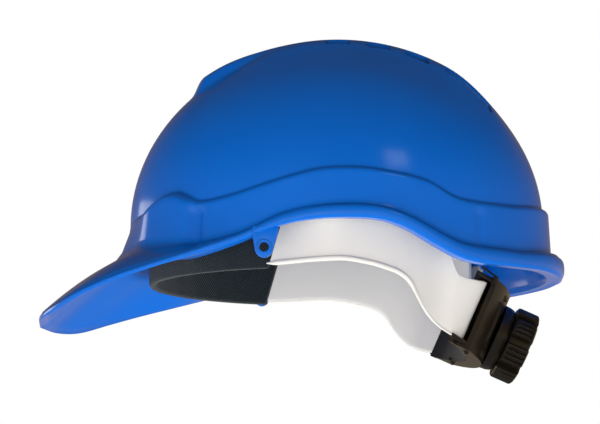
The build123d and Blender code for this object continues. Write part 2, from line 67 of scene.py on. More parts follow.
# %% Camera
VIEW_AZIMUTH = 88.4
VIEW_ELEVATION = -10.4
CAMERA_PLACE = Vector((907.1, -45.7, -132.7)) * MM
camera_data = bpy.data.cameras.new("camera")
camera_data.lens = 99.0
camera_data.sensor_width = 36.0
camera = bpy.data.objects.new("camera", camera_data)
bpy.context.scene.collection.objects.link(camera)
azimuth, elevation = radians(VIEW_AZIMUTH), radians(VIEW_ELEVATION)
look = -Vector((cos(elevation) * sin(azimuth), -cos(elevation) * cos(azimuth), sin(elevation)))
camera.location = CAMERA_PLACE
camera.rotation_euler = look.to_track_quat("-Z", "Y").to_euler()
bpy.context.scene.camera = camera
bpy.context.scene.view_settings.view_transform = "Standard"
print("camera at", tuple(round(c, 3) for c in CAMERA_PLACE))


# %% [markdown]
# Two helpers serve every material. One turns the sRGB hex value that a colour picker shows
# into the linear numbers that Blender's shaders use. The other adds a node, sets its inputs
# and links it, so that a material reads as a short recipe.

# %% Colour and node helpers
def linear(hex_colour):
    """Linear RGBA from an sRGB hex string such as '1260b8'."""
    channels = [int(hex_colour[i:i + 2], 16) / 255 for i in (0, 2, 4)]
    return [c / 12.92 if c <= 0.04045 else ((c + 0.055) / 1.055) ** 2.4 for c in channels] + [1.0]


def add_node(tree, kind, settings=None, **inputs):
    """Adds a node; an input given as a socket is linked, and any other is set."""
    node = tree.nodes.new(kind)
    for name, value in (settings or {}).items():
        setattr(node, name, value)
    for name, value in inputs.items():
        socket = node.inputs[int(name[1:])] if name[0] == "i" and name[1:].isdigit() \
            else node.inputs[name.replace("_", " ")]
        if isinstance(value, bpy.types.NodeSocket):
            tree.links.new(value, socket)
        else:
            socket.default_value = value
    return node


def new_material(name):
    """An empty node material: returns it, its tree, its Principled shader and object coordinates."""
    material = bpy.data.materials.new(name)
    material.use_nodes = True
    tree = material.node_tree
    shader = tree.nodes["Principled BSDF"]
    place = add_node(tree, "ShaderNodeTexCoord").outputs["Object"]
    print("material:", name)
    return material, tree, shader, place


print("half-bright grey is", round(linear("808080")[0], 3), "in linear light")

# %% [markdown]
# The world is what the gloss reflects: a tan horizon, a dull ceiling and a blue-grey ground. The
# camera itself sees plain white. The floor lies well below, because the helmet is held up by
# a head; it shines evenly, so that the underside is lit as by a pale studio floor.

# %% World
scene = bpy.context.scene
world = bpy.data.worlds.new("studio")
scene.world = world
world.use_nodes = True
world_tree = world.node_tree
world_tree.nodes.clear()
direction = add_node(world_tree, "ShaderNodeTexCoord").outputs["Generated"]
height = add_node(world_tree, "ShaderNodeSeparateXYZ", Vector=direction).outputs["Z"]
sky = add_node(world_tree, "ShaderNodeValToRGB", Fac=add_node(
    world_tree, "ShaderNodeMapRange", Value=height, i1=-1.0, i2=1.0).outputs[0])
SKY_STOPS = [(0.0, "5a6470"), (0.35, "6f6c68"), (0.5, "c0a888"), (0.6, "806c58"),
             (0.8, "4c4642"), (1.0, "5c5c60")]
ramp = sky.color_ramp
while len(ramp.elements) < len(SKY_STOPS):
    ramp.elements.new(0.5)
for element, (place, colour) in zip(ramp.elements, SKY_STOPS):
    element.position = place
    element.color = linear(colour)
seen = add_node(world_tree, "ShaderNodeLightPath").outputs["Is Camera Ray"]
mix = add_node(world_tree, "ShaderNodeMixRGB", Fac=seen, Color1=sky.outputs[0],
               Color2=(1.0, 1.0, 1.0, 1.0))
background = add_node(world_tree, "ShaderNodeBackground", Color=mix.outputs[0], Strength=1.0)
add_node(world_tree, "ShaderNodeOutputWorld", Surface=background.outputs[0])
print("the sky has", len(SKY_STOPS), "tones")

# %% Floor
FLOOR_DROP = 0.34
FLOOR_SIZE = 7.0
bm = bmesh.new()
bmesh.ops.create_grid(bm, x_segments=1, y_segments=1, size=FLOOR_SIZE / 2)
bmesh.ops.translate(bm, verts=bm.verts, vec=(0, 0, -FLOOR_DROP))
floor_mesh = bpy.data.meshes.new("floor")
bm.to_mesh(floor_mesh)
bm.free()
floor = bpy.data.objects.new("floor", floor_mesh)
scene.collection.objects.link(floor)
floor_paint, tree, shader, place = new_material("pale studio floor")
shader.inputs["Base Color"].default_value = linear("f4f4f2")
shader.inputs["Roughness"].default_value = 0.9
shader.inputs["Emission Color"].default_value = (1.0, 1.0, 1.0, 1.0)
shader.inputs["Emission Strength"].default_value = 1.3
floor_mesh.materials.append(floor_paint)
floor.visible_glossy = False
print("floor", FLOOR_DROP, "m below the origin")


# %% Lamps
def soft_lamp(name, place, target, size, power, colour="ffffff", gleam=False):
    """A square area lamp that faces a point; sizes in metres, power in watts."""
    data = bpy.data.lights.new(name, "AREA")
    data.size = size
    data.energy = power
    data.color = linear(colour)[:3]
    lamp = bpy.data.objects.new(name, data)
    scene.collection.objects.link(lamp)
    lamp.location = place
    lamp.rotation_euler = (Vector(target) - Vector(place)).to_track_quat("-Z", "Y").to_euler()
    lamp.visible_camera = False
    lamp.visible_glossy = gleam
    return lamp


soft_lamp("key", (1.5, -0.7, 0.9), (0, 0, 0.03), 1.2, 1.35)
soft_lamp("fill", (1.3, 1.2, -0.1), (0, 0, 0), 1.4, 1.05)
soft_lamp("under", (0.7, -0.2, -0.3), (0, 0, 0), 0.7, 3.8)
soft_lamp("window", (-0.9, -1.25, 0.12), (0, -0.05, 0.02), 0.55, 2.0, gleam=True)
soft_lamp("strip", (1.3, 0.75, 0.95), (0, 0.02, 0.08), 0.3, 0.45, gleam=True)


# %% [markdown]
# ## Shell finish
# The shell is pigmented ABS, moulded in a polished tool: a deep even blue under a clear gloss.
# Light that grazes it picks up the colour of the room, and close to it there is a very faint
# waviness from the cooling of the plastic and specks of dust.

# %% Glossy blue ABS
blue_plastic, tree, shader, place = new_material("moulded blue ABS")
ripple = add_node(tree, "ShaderNodeTexNoise", Vector=place, Scale=1 / (38 * MM), Detail=2.0)
speck = add_node(tree, "ShaderNodeTexVoronoi", Vector=place, Scale=1 / (5.5 * MM))
dust = add_node(tree, "ShaderNodeMapRange", Value=speck.outputs["Distance"], i1=0.035, i2=0.05,
                i3=1.0, i4=0.0)
tone = add_node(tree, "ShaderNodeMixRGB", Fac=ripple.outputs["Fac"],
                Color1=linear("0060c4"), Color2=linear("0266cc"))
dusty = add_node(tree, "ShaderNodeMath", {"operation": "MULTIPLY"}, i0=dust.outputs[0], i1=0.10)
paint = add_node(tree, "ShaderNodeMixRGB", Fac=dusty.outputs[0], Color1=tone.outputs[0],
                 Color2=linear("9fc4f0"))
tree.links.new(paint.outputs[0], shader.inputs["Base Color"])
shader.inputs["Roughness"].default_value = 0.16
shader.inputs["IOR"].default_value = 1.5
bump = add_node(tree, "ShaderNodeBump", Height=ripple.outputs["Fac"], Strength=0.12, Distance=0.6 * MM)
tree.links.new(bump.outputs[0], shader.inputs["Normal"])


# %% [markdown]
# ## The moulded shell
# The real shell is one injection moulding: a dome with a raised crest, a ledge where the skirt
# begins, a long peak in front and a thick rolled rim. It could be cut from a ball, but the rim,
# ledge and peak all follow the same way round the head, so here one profile is spun round
# the crown axis, and each ring of the spun form is then pulled to its place on the real curves,
# as a sculptor would pull rings of clay. One profile makes the outside, the rim and the inside.

# %% Curves round the shell
def along(points, x):
    """Height of a smooth curve through (x, height) points; flat beyond its ends."""
    if x <= points[0][0]:
        return points[0][1]
    if x >= points[-1][0]:
        return points[-1][1]
    i = max(k for k in range(len(points) - 1) if points[k][0] <= x)
    x1, y1 = points[i]
    x2, y2 = points[i + 1]
    before = points[max(i - 1, 0)]
    after = points[min(i + 2, len(points) - 1)]
    slope1 = (y2 - before[1]) / (x2 - before[0])
    slope2 = (after[1] - y1) / (after[0] - x1)
    t, span = (x - x1) / (x2 - x1), x2 - x1
    return (y1 * (1 + 2 * t) * (1 - t) ** 2 + y2 * t * t * (3 - 2 * t)
            + span * (slope1 * t * (1 - t) ** 2 - slope2 * t * t * (1 - t)))


def smooth(low, high, x):
    """0 below low, 1 above high, and a smooth ramp between."""
    t = min(max((x - low) / (high - low), 0.0), 1.0)
    return t * t * (3 - 2 * t)


# All of these are in millimetres; angles are in degrees round the crown from the front.
WALL = 2.6
DOME_BASE, DOME_RISE, DOME_LENGTH, DOME_WIDTH = 25.0, 101.0, 114.5, 100.8
SKIRT_FRONT, SKIRT_REAR, SKIRT_WIDTH = 119.0, 118.5, 103.0
BRIM_X = [(0, 0), (10, 36), (20, 63), (30, 78.5), (40, 86.5), (50, 91.5), (62, 96), (75, 102.5),
          (90, 106.5), (105, 104), (120, 93.5), (135, 75.5), (150, 51.5), (165, 25.5), (180, 0)]
BRIM_Y = [(0, -163.5), (10, -158.5), (20, -145), (30, -124.5), (40, -101.5), (50, -79), (62, -57),
          (75, -29.5), (90, 0), (105, 32), (120, 61), (135, 87.5), (150, 109.5), (165, 122), (180, 126.3)]
RIM_LOW = [(-163.5, -31.8), (-150, -29), (-134, -22.5), (-118, -16.8), (-102, -12), (-86, -7.5),
           (-70, -3), (-52, 2.2), (-33, 8.6), (-18, 11.4), (0, 12.2), (18, 11.2), (31, 7.2),
           (46, -0.5), (58, -5.8), (70, -7.8), (92, -7.5), (110, -6.6), (126.5, -6.4)]
RIM_TALL = [(-150, 2.8), (-90, 2.8), (-55, 3.4), (-32, 5.4), (0, 6.6), (26, 6.6), (46, 7.2),
            (75, 8.2), (99, 8.2), (126.5, 12.0)]
LEDGE = [(-125, 22.0), (-108, 24.0), (-92, 26.5), (-73, 25.0), (-58, 27.0), (-43, 31.0),
         (-30, 34.5), (-15, 38.0), (0, 39.0), (15, 38.2), (42, 33.5), (55, 27.0), (64, 25.0),
         (80, 25.0), (95, 26.5), (118, 32.0)]
ROOT_RISE = [(0, 35), (10, 33), (20, 28), (30, 20.5), (40, 12.6), (50, 6), (60, 2.4), (72, 0.8),
             (180, 0.8)]


def turn_of(angle):
    """Degrees from the front, either way round, for an angle in radians."""
    return abs((angle * 180 / pi + 180) % 360 - 180)


def skirt_point(angle):
    """Foot of the skirt in plan, at an angle from the front in radians."""
    length = SKIRT_FRONT if cos(angle) > 0 else SKIRT_REAR
    return SKIRT_WIDTH * sin(angle), -length * cos(angle)


def brim_point(angle):
    """Outer edge of the peak and rim in plan."""
    turn = turn_of(angle)
    side = 1 if sin(angle) >= 0 else -1
    return side * along(BRIM_X, turn), along(BRIM_Y, turn)


# %% [markdown]
# The crown carries a wide raised panel. Its brow has a sharp step in front, and towards the back
# it melts into two low shoulders, which the vents are cut through.

# %% Crest
CREST_ACROSS = [(0, 1.6), (18, 2.0), (30, 2.9), (37, 4.0), (41.5, 4.4), (46, 3.6), (52, 1.7),
                (60, 0.4), (66, 0)]


def dome_swell(x, y):
    """How far the crown's raised crest stands above the dome."""
    half = 44 - 11 * smooth(10, 80, -y)
    brow = 5.0 * (1 - smooth(half - 3.5, half + 1.5, abs(x)))
    crown = along(CREST_ACROSS, abs(x))
    front = smooth(-82.5, -72, y - 0.0028 * x * x)
    rear = 1 - smooth(56, 100, y)
    spread = smooth(-66, -22, y)
    return (brow + (crown - brow) * spread) * front * rear


print("rim at the ear:", along(RIM_LOW, 0), "ledge at the ear:", along(LEDGE, 0))

# %% [markdown]
# The section is drawn in seven short stretches: dome, ledge, skirt, brim, rolled edge, underside
# and inside. Each function returns its own points at one angle, and each stretch starts where
# the last one ended, so the wall has no gap in it.

# %% What the stretches of one section share
DOME_RINGS, LEDGE_RINGS, SKIRT_RINGS, BRIM_RINGS, EDGE_RINGS = 110, 6, 8, 12, 10
UNDER_RINGS, WALL_RINGS, ROOF_RINGS, SPIN_STEPS = 10, 8, 22, 288
# Flutes and faint sink marks: angle, half width in degrees, depth.
FLUTES = [(50.5, 1.7, 2.2), (57.5, 0.6, 0.5), (76.0, 1.6, 0.22), (91.0, 1.4, 0.18), (97.0, 1.2, 0.22),
          (104.0, 1.4, 0.2), (126.0, 1.2, 1.0)]
BOSS_STAND, BOSS_LIFT, PEAK_BOW = 2.4, 5.0, 2.5


def skirt_relief(turn, height, ledge):
    """Boss and upright flutes moulded in the skirt: millimetres outward at an angle."""
    boss = BOSS_STAND * smooth(21, 33, turn) * (1 - smooth(46.8, 49.6, turn))
    flute = sum(-deep * exp(-((turn - place) / wide) ** 4) for place, wide, deep in FLUTES)
    fade = 1 - smooth(ledge - 6, ledge + 1, height)
    return boss + flute * fade


def section_at(angle):
    """Plan points and heights at one angle: foot and edge, ledge, rim and the brim's root."""
    turn = turn_of(angle)
    foot, edge = Vector(skirt_point(angle)), Vector(brim_point(angle))
    low, tall = along(RIM_LOW, edge.y), along(RIM_TALL, edge.y)
    rise = along(ROOT_RISE, turn)
    return SimpleNamespace(
        angle=angle, turn=turn, foot=foot, edge=edge, low=low, tall=tall, root=low + tall + rise,
        normal=Vector((sin(angle) / SKIRT_WIDTH, -cos(angle) / SKIRT_FRONT)).normalized(),
        ledge=along(LEDGE, foot.y) + BOSS_LIFT * smooth(24, 40, turn) * (1 - smooth(42, 51, turn)),
        fillet=0.7 + 2.3 * smooth(3, 20, rise),
        roll=1.2 + 0.9 * smooth(2.8, 6.0, tall) + 1.6 * smooth(8.5, 11.5, tall))


def peak_bow(cut, t):
    """How far the peak arches above a straight line from its root to its edge."""
    return PEAK_BOW * 4 * t * (1 - t) * smooth(4, 30, cut.root - cut.low)


print("the brow's ledge is at", round(section_at(0.0).ledge, 1), "mm")


# %% Outside of the section: dome, ledge and skirt
def dome_rings(cut):
    """From the crown down to the ledge."""
    last = asin((cut.ledge - DOME_BASE) / DOME_RISE)
    rings = []
    for k in range(DOME_RINGS):
        beta = pi / 2 + (last - pi / 2) * k / (DOME_RINGS - 1)
        x = DOME_WIDTH * cos(beta) * sin(cut.angle)
        y = -DOME_LENGTH * cos(beta) * cos(cut.angle)
        up = Vector((x / DOME_WIDTH ** 2, y / DOME_LENGTH ** 2, sin(beta) / DOME_RISE)).normalized()
        rings.append(Vector((x, y, DOME_BASE + DOME_RISE * sin(beta))) + up * dome_swell(x, y))
    return rings


def ledge_rings(cut, start):
    """Over the ledge, a quarter round that grows from nothing at the brow."""
    step = smooth(12, 34, cut.turn)
    rings = []
    for k in range(1, LEDGE_RINGS + 1):
        t = k / LEDGE_RINGS
        share = sin(t * pi / 2) * 0.8 * step + 0.1 * t * (1 - step)
        drop = (1 - cos(t * pi / 2)) * 2.6 + 0.4 * t
        relief = skirt_relief(cut.turn, cut.ledge, cut.ledge) * t
        flat = start.xy + (cut.foot - start.xy) * share + cut.normal * relief
        rings.append(Vector((flat.x, flat.y, cut.ledge - drop)))
    return rings


def skirt_rings(cut, start):
    """Down the skirt to the root of the brim."""
    at_ledge = skirt_relief(cut.turn, cut.ledge, cut.ledge)
    rings = []
    for k in range(1, SKIRT_RINGS + 1):
        t = k / SKIRT_RINGS
        z = start.z + (cut.root + cut.fillet - start.z) * t
        relief = skirt_relief(cut.turn, z, cut.ledge) - at_ledge * (1 - t)
        flat = start.xy + (cut.foot - start.xy) * t + cut.normal * relief
        rings.append(Vector((flat.x, flat.y, z)))
    return rings


# %% Brim, rolled edge, underside and inside of the section
def brim_rings(cut, start, reach):
    """Out along the top of the peak or rim, from the fillet at its root."""
    inset, fillet_end = cut.roll / max(reach.length, 1), cut.fillet / max(reach.length, 1)
    rings = []
    for k in range(1, BRIM_RINGS + 1):
        s = k / BRIM_RINGS * (1 - inset)
        dip = cut.fillet * (1 - min(s / fillet_end, 1)) ** 2
        z = cut.root + (cut.low + cut.tall - cut.root) * s + peak_bow(cut, s) + dip
        rings.append(Vector((start.x + reach.x * s, start.y + reach.y * s, z)))
    return rings


def edge_rings(cut, reach):
    """Round the rolled edge, a little squarer than a circle."""
    outward, half = reach.normalized(), cut.tall / 2
    rings = []
    for k in range(1, EDGE_RINGS):
        a = pi * k / EDGE_RINGS
        flat = cut.edge - outward * cut.roll * (1 - sin(a))
        z = cut.low + half + half * (abs(cos(a)) ** 0.75) * (1 if cos(a) > 0 else -1)
        rings.append(Vector((flat.x, flat.y, z)))
    return rings


def under_rings(cut, start):
    """Back in under the peak or rim, to the inside of the skirt."""
    inner = cut.foot - cut.normal * WALL
    brim = smooth(4, 20, cut.root - cut.low)
    rings = []
    for k in range(1, UNDER_RINGS + 1):
        t = k / UNDER_RINGS
        flat = start.xy.lerp(inner, t)
        z = cut.low + (cut.root - cut.tall - cut.low) * t + peak_bow(cut, t)
        rings.append(Vector((flat.x, flat.y, z * brim + cut.low * (1 - brim))))
    return rings


def inside_rings(cut, start):
    """Up the inside of the skirt, then over under the crown."""
    width, length, height = DOME_WIDTH - WALL, DOME_LENGTH - WALL, DOME_RISE - WALL
    spring = Vector((width * sin(cut.angle), -length * cos(cut.angle), DOME_BASE))
    rings = [start.lerp(spring, k / WALL_RINGS) for k in range(1, WALL_RINGS + 1)]
    for k in range(1, ROOF_RINGS + 1):
        beta = pi / 2 * k / ROOF_RINGS
        rings.append(Vector((width * cos(beta) * sin(cut.angle), -length * cos(beta) * cos(cut.angle),
                             DOME_BASE + height * sin(beta))))
    return rings


def shell_rings(angle):
    """Every point of the shell's section at one angle, in millimetres."""
    cut = section_at(angle)
    rings = dome_rings(cut)
    rings += ledge_rings(cut, rings[-1])
    rings += skirt_rings(cut, rings[-1])
    reach = cut.edge - rings[-1].xy
    rings += brim_rings(cut, rings[-1], reach)
    rings += edge_rings(cut, reach)
    rings += under_rings(cut, rings[-1])
    rings += inside_rings(cut, rings[-1])
    return rings


print("one section has", len(shell_rings(0.0)), "points")

# %% [markdown]
# A spin of a straight line of points makes a tube whose rings are already joined up and closed.
# Every point knows its ring from its height and its section from its angle, so it can be
# moved to its real place, and the crown's poles are closed by merging their doubles.

# %% Spin the profile and pull the rings into place
def finish_piece(name, bm, material, body=None, sharp=None):
    """Turns a bmesh in millimetres into a piece with one material that rides on a body."""
    bmesh.ops.scale(bm, vec=(MM, MM, MM), verts=bm.verts)
    mesh = bpy.data.meshes.new(name)
    bm.to_mesh(mesh)
    bm.free()
    mesh.polygons.foreach_set("use_smooth", [True] * len(mesh.polygons))
    if sharp:
        mesh.set_sharp_from_angle(angle=radians(sharp))
    mesh.materials.append(material)
    piece = bpy.data.objects.new(name, mesh)
    scene.collection.objects.link(piece)
    if body:
        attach(piece, body)
    print(name, "has", len(mesh.polygons), "faces")
    return piece


def spun_rings(rings_at, count, steps):
    """Spins an upright line of points once round Z, then pulls point k of every angle into place."""
    bm = bmesh.new()
    points = [bm.verts.new((0.0 if k in (0, count - 1) else 1.0, 0.0, -float(k)))
              for k in range(count)]
    line = [bm.edges.new(pair) for pair in zip(points, points[1:])]
    bmesh.ops.spin(bm, geom=points + line, axis=(0, 0, 1), cent=(0, 0, 0), angle=2 * pi,
                   steps=steps, use_merge=True)
    bmesh.ops.remove_doubles(bm, verts=bm.verts, dist=1e-4)
    columns = {}
    for vert in bm.verts:
        turn = round(atan2(vert.co.x, -vert.co.y) / (2 * pi) * steps) % steps
        if turn not in columns:
            columns[turn] = rings_at(2 * pi * turn / steps)
        vert.co = columns[turn][round(-vert.co.z)]
    bmesh.ops.recalc_face_normals(bm, faces=bm.faces)
    return bm


shell_form = spun_rings(shell_rings, len(shell_rings(0.0)), SPIN_STEPS)
shell = finish_piece("shell_moulding", shell_form, blue_plastic, "helmet")
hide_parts("shell")

# %% [markdown]
# Small moulded details are blocks with soft edges. Sharp edges never catch a line of light, so
# every block has its edges bevelled, and details of one material are merged into one piece.

# %% Small forms: rounded blocks, and many forms as one
def rounded(bm, width, segments=2, angle=30):
    """Rounds the edges of a form that turn by more than an angle."""
    edges = [e for e in bm.edges if len(e.link_faces) == 2 and e.calc_face_angle(0) > radians(angle)]
    bmesh.ops.bevel(bm, geom=edges, affect="EDGES", offset=width, segments=segments, profile=0.5,
                    material=-1)
    return bm


def block(size, place, turn=0.0):
    """A block in millimetres, turned about Z and then moved to its place."""
    bm = bmesh.new()
    bmesh.ops.create_cube(bm, size=1.0)
    bmesh.ops.scale(bm, vec=size, verts=bm.verts)
    bmesh.ops.rotate(bm, cent=(0, 0, 0), matrix=Matrix.Rotation(turn, 3, "Z"), verts=bm.verts)
    bmesh.ops.translate(bm, vec=place, verts=bm.verts)
    return bm


def merged(forms):
    """One bmesh that holds all the forms."""
    whole = bmesh.new()
    for form in forms:
        holder = bpy.data.meshes.new("holder")
        form.to_mesh(holder)
        form.free()
        whole.from_mesh(holder)
        bpy.data.meshes.remove(holder)
    return whole


# %% [markdown]
# Vents are real slots through the wall. The mould leaves them with rounded corners, so rounded
# blocks are cut out of the shell with an exact Boolean, and its result is baked into the mesh.

# %% Vents, cut right through the crown
# Each is sideways place, fore-and-aft place and length.
VENTS = [(45.0, -1.0, 13.0), (45.4, 20.5, 13.0), (45.6, 41.5, 13.0), (44.6, 69.0, 25.0)]
VENT_WIDTH, CUT_TALL, CUT_MIDDLE, VENT_CORNER = 7.0, 80.0, 115.0, 1.2
cutters = []
for side in (1, -1):
    for x, y, length in VENTS:
        slot_block = block((VENT_WIDTH, length, CUT_TALL), (side * x, y, CUT_MIDDLE))
        cutters.append(rounded(slot_block, VENT_CORNER))
cutter = finish_piece("vent_cutter", merged(cutters), blue_plastic)
cut = shell.modifiers.new("vents", "BOOLEAN")
cut.operation = "DIFFERENCE"
cut.object = cutter
cut.solver = "EXACT"
bpy.context.view_layer.update()
pierced = bpy.data.meshes.new_from_object(shell.evaluated_get(bpy.context.evaluated_depsgraph_get()))
shell.modifiers.clear()
shell.data = pierced
bpy.data.objects.remove(cutter)
print("vents cut; the shell has", len(pierced.polygons), "faces")


# %% [markdown]
# ## Slots for the harness keys, and the chin strap lugs
# Inside the skirt are six moulded pockets, which the harness keys push up into, and below the
# rim in front of each ear hangs a small pierced tab for a chin strap. Both are part of the same
# moulding, so they take the shell's plastic. A pocket is a block with soft edges, set round
# the key it holds; a lug is a flat plate with an eye cut through it and a raised ring.

# %% Key pockets
def centre_of(node):
    low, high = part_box(node)
    return (low + high) / 2 / MM


KEYS = [f"{end}_{side}_key" for end in ("front", "side", "rear") for side in ("left", "right")]
POCKET_WIDTH, POCKET_DEPTH, POCKET_TALL, CHEEK, BACK = 20.0, 5.0, 15.0, 2.0, 1.6
CHEEK_APART, CHEEK_IN, BACK_IN, POCKET_SOFT = 9.4, 4.6, 7.6, 0.5
pockets = []
for key in KEYS:
    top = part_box(key)[1].z / MM
    middle = centre_of(key)
    turn = atan2(middle.y / DOME_LENGTH, middle.x / DOME_WIDTH)
    wall = Vector((DOME_WIDTH * cos(turn), DOME_LENGTH * sin(turn), 0))
    out = Vector((cos(turn) / DOME_WIDTH, sin(turn) / DOME_LENGTH, 0)).normalized()
    facing = atan2(out.y, out.x) + pi / 2
    for gap in (-CHEEK_APART, CHEEK_APART):
        spot = wall - out * CHEEK_IN + Vector((-out.y, out.x, 0)) * gap
        spot.z = top - POCKET_TALL / 2 + 3
        pockets.append(rounded(block((CHEEK, POCKET_DEPTH, POCKET_TALL), spot, facing), POCKET_SOFT))
    spot = wall - out * BACK_IN
    spot.z = top - POCKET_TALL / 2 + 4
    pockets.append(rounded(block((POCKET_WIDTH, BACK, POCKET_TALL - 2), spot, facing), POCKET_SOFT))
finish_piece("key_pockets", merged(pockets), blue_plastic, "helmet", 40)

# %% Chin strap lugs
LUG_Y, LUG_Z, LUG_RADIUS, LUG_EYE = -41.0, -1.8, 5.3, 2.4
LUG_X, LUG_THICK, LUG_HEIGHT, LUG_SLIM, LUG_STRETCH = 95.7, 3.0, 10.5, 0.9, 3.6
FLARE_REAR, FLARE_FRONT, RING_WIDE, RING_PROUD, LUG_SOFT = 0.85, 0.45, 1.5, 0.9, 0.4


def lug(side):
    """A tapered plate that hangs below the rim, with a ringed eye."""
    bm = bmesh.new()
    bmesh.ops.create_circle(bm, radius=LUG_EYE, segments=48)
    outer = bmesh.ops.create_circle(bm, radius=LUG_RADIUS, segments=48)["verts"]
    for vert in outer:
        rise = min(max(vert.co.y, 0) * LUG_STRETCH, LUG_HEIGHT)
        flare = FLARE_REAR if vert.co.x > 0 else FLARE_FRONT
        vert.co.x *= LUG_SLIM * (1 + flare * rise / LUG_HEIGHT)
        vert.co.y = rise if vert.co.y > 0 else vert.co.y
    bmesh.ops.bridge_loops(bm, edges=bm.edges[:])
    bmesh.ops.solidify(bm, geom=bm.faces[:], thickness=LUG_THICK)
    ring = bmesh.new()
    bmesh.ops.create_circle(ring, radius=LUG_EYE, segments=48)
    bmesh.ops.create_circle(ring, radius=LUG_EYE + RING_WIDE, segments=48)
    bmesh.ops.bridge_loops(ring, edges=ring.edges[:])
    bmesh.ops.solidify(ring, geom=ring.faces[:], thickness=LUG_THICK + RING_PROUD)
    for form in (bm, ring):
        middle = sum((v.co.z for v in form.verts), 0.0) / len(form.verts)
        bmesh.ops.translate(form, vec=(0, 0, -middle), verts=form.verts)
        bmesh.ops.recalc_face_normals(form, faces=form.faces)
        rounded(form, LUG_SOFT)
    whole = merged([bm, ring])
    stand = Matrix(((0, 0, 1), (1, 0, 0), (0, 1, 0)))
    bmesh.ops.rotate(whole, cent=(0, 0, 0), matrix=stand, verts=whole.verts)
    bmesh.ops.translate(whole, vec=(side * (LUG_X + LUG_THICK / 2), LUG_Y, LUG_Z), verts=whole.verts)
    return whole


for name, side in (("chin_lug_left", 1), ("chin_lug_right", -1)):
    finish_piece(name, lug(side), blue_plastic, "helmet", 35)


# %% [markdown]
# ## White plastics
# The headband is low-density polyethylene: milky, a little translucent, satin rather than glossy,
# and faintly uneven where it cooled. Subsurface light lets it glow softly at its edges.

# %% Milky polyethylene
def polyethylene(name, pale, deep, roughness):
    material, tree, shader, place = new_material(name)
    cloud = add_node(tree, "ShaderNodeTexNoise", Vector=place, Scale=1 / (24 * MM), Detail=3.0)
    grain = add_node(tree, "ShaderNodeTexNoise", Vector=place, Scale=1 / (0.9 * MM), Detail=2.0)
    tone = add_node(tree, "ShaderNodeMixRGB", Fac=cloud.outputs["Fac"], Color1=linear(deep),
                    Color2=linear(pale))
    tree.links.new(tone.outputs[0], shader.inputs["Base Color"])
    shader.inputs["Roughness"].default_value = roughness
    shader.inputs["IOR"].default_value = 1.51
    shader.inputs["Subsurface Weight"].default_value = 0.25
    shader.inputs["Subsurface Radius"].default_value = (1.0, 0.9, 0.8)
    shader.inputs["Subsurface Scale"].default_value = 1.5 * MM
    bump = add_node(tree, "ShaderNodeBump", Height=grain.outputs["Fac"], Strength=0.1,
                    Distance=0.2 * MM)
    tree.links.new(bump.outputs[0], shader.inputs["Normal"])
    return material


band_plastic = polyethylene("moulded white polyethylene", "e0ddd7", "d5d4cf", 0.42)
key_plastic = polyethylene("moulded white nylon", "e6e4de", "dcdad4", 0.35)


# %% [markdown]
# ## Headband
# The headband is one flexible strip: it lies round the brow, dips behind the ears and runs on
# as two thin arms into the ratchet. A strip like this is a ruled surface between a lower and
# an upper edge, so a flat grid is pulled on to those two curves and given its thickness. A
# round bead stiffens the lower edge. The arms shorten as the ratchet is wound in, but here the
# strip is made in one fixed shape and rides on no body.

# %% Grid pulled on to a surface
def pulled_grid(columns, rows, place, width=1.0, height=1.0):
    """A grid whose vertex at (u, v), each 0 to 1, is pulled to place(u, v). Its UV is in metres."""
    bm = bmesh.new()
    bmesh.ops.create_grid(bm, x_segments=columns, y_segments=rows, size=0.5)
    cloth = bm.loops.layers.uv.new("cloth")
    for face in bm.faces:
        for loop in face.loops:
            u, v = loop.vert.co.x + 0.5, loop.vert.co.y + 0.5
            loop[cloth].uv = (u * width * MM, v * height * MM)
    for vert in bm.verts:
        vert.co = place(vert.co.x + 0.5, vert.co.y + 0.5)
    return bm


def curve_at(points, t):
    """Smooth curve through 3-D points, t from 0 to 1."""
    steps = [(k / (len(points) - 1)) for k in range(len(points))]
    return Vector([along(list(zip(steps, [p[i] for p in points])), t) for i in range(3)])


BAND_WIDTH, BAND_LENGTH, BAND_MIDDLE, BAND_THICK = 81.0, 100.0, -3.0, 1.8
BAND_TOP, BAND_SOFT, SIDE_ANGLE = 24.0, 0.45, 100.0


def oval_point(turn, z, outward=0.0):
    """Point on the headband's oval, at an angle in degrees from the front."""
    a = radians(turn)
    return Vector(((BAND_WIDTH + outward) * sin(a), BAND_MIDDLE - (BAND_LENGTH + outward) * cos(a), z))


LOW_EDGE = [(0, -7.5), (45, -7.5), (70, -6.6), (84, -5.0), (92, -4.6), (100, -6.8)]
ARM_LOW = [(79.8, 14.4, -6.8), (78.6, 22, -9.0), (77.0, 28, -11.2), (75.0, 33.5, -15.5),
           (71.5, 39.5, -26.0), (65.5, 45.0, -33.0), (58.5, 50.5, -37.0), (50.5, 57, -39.8),
           (40.0, 63.0, -41.8), (37.0, 64.4, -42.6)]
ARM_HIGH = [(79.8, 14.4, 24), (78.4, 22, 24), (76.8, 29, 23), (74.5, 36, 22), (71.6, 43, 20),
            (66.6, 52.5, 14), (62.6, 58.6, -6.5), (57.0, 64.0, -10.6), (41.5, 76.8, -11.0),
            (38.0, 78.4, -11.2)]
TURN_SHARE = 0.58
BEAD_START, BEAD_TAPER, BEAD_THIN_FROM, BEAD_THIN_TO = 0.398, 0.02, 0.70, 0.79


def band_edge(u, high):
    """Lower or upper edge of the left half of the headband; u runs from the brow to the ratchet."""
    if u < TURN_SHARE:
        turn = SIDE_ANGLE * u / TURN_SHARE
        return oval_point(turn, BAND_TOP if high else along(LOW_EDGE, turn))
    t = (u - TURN_SHARE) / (1 - TURN_SHARE)
    return curve_at(ARM_HIGH if high else ARM_LOW, t)


def mirrored(point, side):
    return Vector((point.x * side, point.y, point.z))


